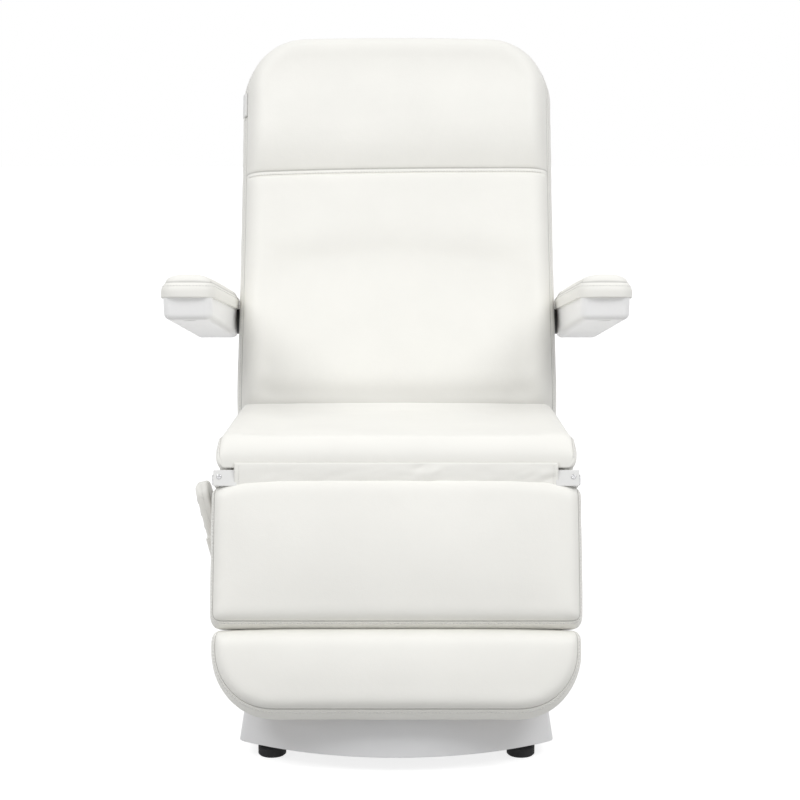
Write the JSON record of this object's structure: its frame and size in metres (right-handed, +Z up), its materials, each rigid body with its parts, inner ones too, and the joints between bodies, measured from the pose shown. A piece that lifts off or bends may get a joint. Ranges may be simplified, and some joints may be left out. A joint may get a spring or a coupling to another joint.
{
  "type": "electric beauty chair",
  "caption": "Upholstered treatment chair on a motor-lifted base, with a reclining back, a raising leg rest, a sliding footrest and lift-up armrests.",
  "frame": {"origin": "on the floor below the middle of the chair's bounding box", "axes": "+Z up, -Y the way the sitter faces, +X to the sitter's left"},
  "size_m": [0.806, 1.0348, 1.2124],
  "materials": {
    "leather": "smooth grained, satin",
    "base_plastic": "satin",
    "arm_plastic": "satin",
    "white_paint": "semi-gloss",
    "steel": "brushed",
    "dark_steel": "dark, brushed",
    "black_plastic": "matte",
    "drive_grey": "matte",
    "rubber": "matte",
    "plywood": "raw",
    "handset_grey": "satin",
    "button_grey": "satin"
  },
  "bodies": {
    "base": {"base_frame": "white_paint", "base_cover": "base_plastic", "foot_studs": "steel", "control_box": "black_plastic", "mains_inlet": "black_plastic", "lift_shafts": "steel", "lift_drive_base_pin": "steel"},
    "lower_arms": {"lower_arms": "white_paint", "lift_drive_lever_pin": "steel"},
    "upper_arms": {"upper_arms": "white_paint"},
    "lift_drive": {"lift_drive": "drive_grey"},
    "lift_drive_rod": {"lift_drive_rod": "steel"},
    "seat": {"seat_frame": "white_paint", "carriage_plate_left": "white_paint", "carriage_plate_right": "white_paint", "carriage_shafts": "steel", "back_hinge_pins": "steel", "seat_board": "plywood", "seat_cushion": "leather", "leg_clevis_left": "white_paint", "leg_clevis_right": "white_paint", "leg_hinge_bolts": "steel", "gap_flap": "leather", "handset_holder": "handset_grey", "back_drive_seat_pin": "steel", "leg_drive_seat_pin": "steel"},
    "backrest": {"back_frame": "white_paint", "back_board": "plywood", "back_cushion": "leather", "arm_shafts": "dark_steel", "back_drive_lever_pin": "steel"},
    "back_drive": {"back_drive": "drive_grey"},
    "back_drive_rod": {"back_drive_rod": "steel"},
    "leg_rest": {"leg_frame": "white_paint", "leg_board": "plywood", "leg_cushion": "leather", "leg_drive_lever_pin": "steel"},
    "leg_drive": {"leg_drive": "drive_grey"},
    "leg_drive_rod": {"leg_drive_rod": "steel"},
    "footrest": {"foot_frame": "white_paint", "foot_board": "plywood", "foot_cushion": "leather"},
    "arm_left": {"arm_housing_left": "arm_plastic", "arm_pad_left": "leather", "arm_flange_left": "black_plastic"},
    "arm_right": {"arm_housing_right": "arm_plastic", "arm_pad_right": "leather", "arm_flange_right": "black_plastic"},
    "handset": {"handset_front": "handset_grey", "handset_back": "handset_grey"},
    "foot_1": {"foot_pad_1": "rubber"},
    "foot_2": {"foot_pad_2": "rubber"},
    "foot_3": {"foot_pad_3": "rubber"},
    "foot_4": {"foot_pad_4": "rubber"},
    "button_1": {"handset_button_1": "button_grey"},
    "button_2": {"handset_button_2": "button_grey"},
    "button_3": {"handset_button_3": "button_grey"},
    "button_4": {"handset_button_4": "button_grey"},
    "button_5": {"handset_button_5": "button_grey"},
    "button_6": {"handset_button_6": "button_grey"}
  },
  "joints": [
    {"name": "lift", "type": "hinge", "parent": "base", "child": "lower_arms", "pos_m": [0, 0.13214, 0.1], "axis": [-1, 0, 0], "range_deg": [0, 38]},
    {"name": "lift_upper_arms", "type": "hinge", "parent": "base", "child": "upper_arms", "pos_m": [0, 0.17214, 0.21], "axis": [-1, 0, 0], "range_deg": [0, 38]},
    {"name": "seat_level", "type": "hinge", "parent": "lower_arms", "child": "seat", "pos_m": [0, -0.25911, 0.18316], "axis": [1, 0, 0], "range_deg": [0, 38]},
    {"name": "lift_drive_swing", "type": "hinge", "parent": "base", "child": "lift_drive", "pos_m": [0, -0.03615, 0.076], "axis": [-1, 0, 0], "range_deg": [0, 19]},
    {"name": "lift_rod_swing", "type": "hinge", "parent": "lower_arms", "child": "lift_drive_rod", "pos_m": [0, 0.07961, 0.26168], "axis": [1, 0, 0], "range_deg": [0, 19]},
    {"name": "recline", "type": "hinge", "parent": "seat", "child": "backrest", "pos_m": [0, 0.178, 0.445], "axis": [-1, 0, 0], "range_deg": [0, 66]},
    {"name": "back_drive_swing", "type": "hinge", "parent": "seat", "child": "back_drive", "pos_m": [0, 0.00222, 0.405], "axis": [-1, 0, 0], "range_deg": [0, 33]},
    {"name": "back_rod_swing", "type": "hinge", "parent": "backrest", "child": "back_drive_rod", "pos_m": [0, 0.34706, 0.3824], "axis": [1, 0, 0], "range_deg": [0, 33]},
    {"name": "leg_raise", "type": "hinge", "parent": "seat", "child": "leg_rest", "pos_m": [0, -0.379, 0.474], "axis": [-1, 0, 0], "range_deg": [0, 70], "deforming": ["gap_flap"]},
    {"name": "leg_drive_swing", "type": "hinge", "parent": "seat", "child": "leg_drive", "pos_m": [0, -0.19667, 0.415], "axis": [-1, 0, 0], "range_deg": [0, 35]},
    {"name": "leg_rod_swing", "type": "hinge", "parent": "leg_rest", "child": "leg_drive_rod", "pos_m": [0, -0.37818, 0.28237], "axis": [1, 0, 0], "range_deg": [0, 35]},
    {"name": "footrest_slide", "type": "slide", "parent": "leg_rest", "child": "footrest", "axis": [0, -0.309, -0.9511], "range_m": [0, 0.085]},
    {"name": "arm_lift_left", "type": "hinge", "parent": "backrest", "child": "arm_left", "pos_m": [-0.316, 0.31581, 0.6566], "axis": [-1, 0, 0], "range_deg": [0, 105]},
    {"name": "arm_lift_right", "type": "hinge", "parent": "backrest", "child": "arm_right", "pos_m": [0.316, 0.31581, 0.6566], "axis": [-1, 0, 0], "range_deg": [0, 105]},
    {"name": "handset_lift", "type": "slide", "parent": "seat", "child": "handset", "axis": [-0.2419, 0, 0.9703], "range_m": [0, 0.07]},
    {"name": "foot_turn_1", "type": "hinge", "parent": "base", "child": "foot_1", "pos_m": [-0.209, -0.35886, 0], "axis": [0, 0, 1], "continuous": true},
    {"name": "foot_turn_2", "type": "hinge", "parent": "base", "child": "foot_2", "pos_m": [0.209, -0.35886, 0], "axis": [0, 0, 1], "continuous": true},
    {"name": "foot_turn_3", "type": "hinge", "parent": "base", "child": "foot_3", "pos_m": [-0.209, 0.24814, 0], "axis": [0, 0, 1], "continuous": true},
    {"name": "foot_turn_4", "type": "hinge", "parent": "base", "child": "foot_4", "pos_m": [0.209, 0.24814, 0], "axis": [0, 0, 1], "continuous": true},
    {"name": "button_press_1", "type": "slide", "parent": "handset", "child": "button_1", "axis": [0.9703, 0, 0.2419], "range_m": [0, 0.001], "stiffness_N_per_m": 400},
    {"name": "button_press_2", "type": "slide", "parent": "handset", "child": "button_2", "axis": [0.9703, 0, 0.2419], "range_m": [0, 0.001], "stiffness_N_per_m": 400},
    {"name": "button_press_3", "type": "slide", "parent": "handset", "child": "button_3", "axis": [0.9703, 0, 0.2419], "range_m": [0, 0.001], "stiffness_N_per_m": 400},
    {"name": "button_press_4", "type": "slide", "parent": "handset", "child": "button_4", "axis": [0.9703, 0, 0.2419], "range_m": [0, 0.001], "stiffness_N_per_m": 400},
    {"name": "button_press_5", "type": "slide", "parent": "handset", "child": "button_5", "axis": [0.9703, 0, 0.2419], "range_m": [0, 0.001], "stiffness_N_per_m": 400},
    {"name": "button_press_6", "type": "slide", "parent": "handset", "child": "button_6", "axis": [0.9703, 0, 0.2419], "range_m": [0, 0.001], "stiffness_N_per_m": 400}
  ],
  "couplings": [
    {"joint": "lift_upper_arms", "follows": "lift", "ratio": 1},
    {"joint": "seat_level", "follows": "lift", "ratio": 1},
    {"joint": "lift_drive_swing", "follows": "lift", "ratio": 0.5},
    {"joint": "lift_rod_swing", "follows": "lift", "ratio": 0.5},
    {"joint": "back_drive_swing", "follows": "recline", "ratio": 0.5},
    {"joint": "back_rod_swing", "follows": "recline", "ratio": 0.5},
    {"joint": "leg_drive_swing", "follows": "leg_raise", "ratio": 0.5},
    {"joint": "leg_rod_swing", "follows": "leg_raise", "ratio": 0.5}
  ]
}
